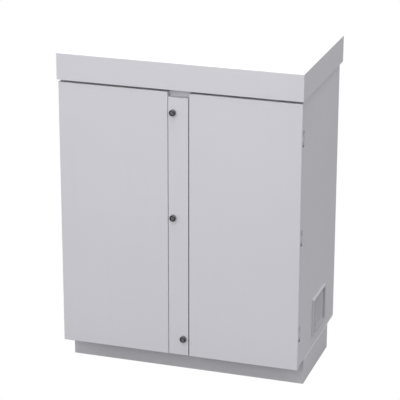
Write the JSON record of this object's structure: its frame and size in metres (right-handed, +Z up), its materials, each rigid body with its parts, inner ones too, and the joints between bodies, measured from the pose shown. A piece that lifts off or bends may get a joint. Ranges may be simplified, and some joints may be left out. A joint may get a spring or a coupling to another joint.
{
  "type": "roadside utility cabinet",
  "caption": "Floor-standing steel street cabinet with double doors, a central lock post, a deep cap roof, a recessed plinth and a side vent.",
  "frame": {"origin": "on the ground, at the middle of the whole object's outline seen from above, which is the middle of the roof", "axes": "+Z up, +X to the right of someone who faces the doors, +Y from the doors to the rear panel"},
  "size_m": [1.0146, 0.628, 1.335],
  "materials": {
    "cabinet_paint": "light grey powder coat, fine orange peel, satin",
    "plinth_paint": "light grey powder coat, satin",
    "mesh_paint": "grey powder coat, a little darker than the body's, over the vent's frame and perforated sheet",
    "zinc": "zinc plated and galvanised steel, dull",
    "lock_metal": "nickel plated, satin",
    "lock_dark": "blackened, satin",
    "seal_rubber": "matt foam rubber",
    "earth_copper": "bare copper, dull",
    "insulator": "moulded, matt"
  },
  "bodies": {
    "cabinet": {"plinth": "plinth_paint", "floor_plate": "zinc", "floor_bolts": "zinc", "gland_plate": "zinc", "gland_plate_screws": "zinc", "left_side_panel": "cabinet_paint", "right_side_panel": "cabinet_paint", "rear_panel": "cabinet_paint", "rear_panel_screws": "zinc", "top_rail": "cabinet_paint", "bottom_rail": "cabinet_paint", "centre_mullion": "cabinet_paint", "top_panel": "zinc", "roof": "cabinet_paint", "roof_spacers": "zinc", "roof_bolts": "zinc", "lock_post": "cabinet_paint", "lock_post_nuts": "zinc", "left_upright": "zinc", "right_upright": "zinc", "equipment_board": "zinc", "board_screws": "zinc", "cable_rail": "zinc", "earth_bar": "earth_copper", "earth_bar_posts": "insulator", "earth_bar_screws": "zinc", "vent_cover": "mesh_paint", "vent_mesh": "mesh_paint", "vent_screws": "zinc", "left_top_body_hinge": "cabinet_paint", "left_middle_body_hinge": "cabinet_paint", "left_bottom_body_hinge": "cabinet_paint", "right_top_body_hinge": "cabinet_paint", "right_middle_body_hinge": "cabinet_paint", "right_bottom_body_hinge": "cabinet_paint", "top_lock_housing": "lock_metal", "middle_lock_housing": "lock_metal", "bottom_lock_housing": "lock_metal", "lock_nuts": "zinc"},
    "left_door_leaf": {"left_door": "cabinet_paint", "left_door_frame": "zinc", "left_door_seal": "seal_rubber", "left_top_door_hinge": "cabinet_paint", "left_middle_door_hinge": "cabinet_paint", "left_bottom_door_hinge": "cabinet_paint", "left_hinge_pins": "zinc"},
    "right_door_leaf": {"right_door": "cabinet_paint", "right_door_frame": "zinc", "right_door_seal": "seal_rubber", "right_top_door_hinge": "cabinet_paint", "right_middle_door_hinge": "cabinet_paint", "right_bottom_door_hinge": "cabinet_paint", "right_hinge_pins": "zinc"},
    "top_lock": {"top_lock_plug": "lock_dark", "top_lock_cam": "zinc"},
    "middle_lock": {"middle_lock_plug": "lock_dark", "middle_lock_cam": "zinc"},
    "bottom_lock": {"bottom_lock_plug": "lock_dark", "bottom_lock_cam": "zinc"}
  },
  "joints": [
    {"name": "left_door_hinge", "type": "hinge", "parent": "cabinet", "child": "left_door_leaf", "pos_m": [-0.495, -0.289, 0.66], "axis": [0, 0, -1], "range_deg": [0, 110]},
    {"name": "right_door_hinge", "type": "hinge", "parent": "cabinet", "child": "right_door_leaf", "pos_m": [0.495, -0.289, 0.66], "axis": [0, 0, 1], "range_deg": [0, 110]},
    {"name": "top_lock_turn", "type": "hinge", "parent": "cabinet", "child": "top_lock", "pos_m": [-0.0215, -0.305, 1.1335], "axis": [0, 1, 0], "range_deg": [0, 90]},
    {"name": "middle_lock_turn", "type": "hinge", "parent": "cabinet", "child": "middle_lock", "pos_m": [-0.0215, -0.305, 0.697], "axis": [0, 1, 0], "range_deg": [0, 90]},
    {"name": "bottom_lock_turn", "type": "hinge", "parent": "cabinet", "child": "bottom_lock", "pos_m": [0.0205, -0.305, 0.1785], "axis": [0, -1, 0], "range_deg": [0, 90]}
  ]
}
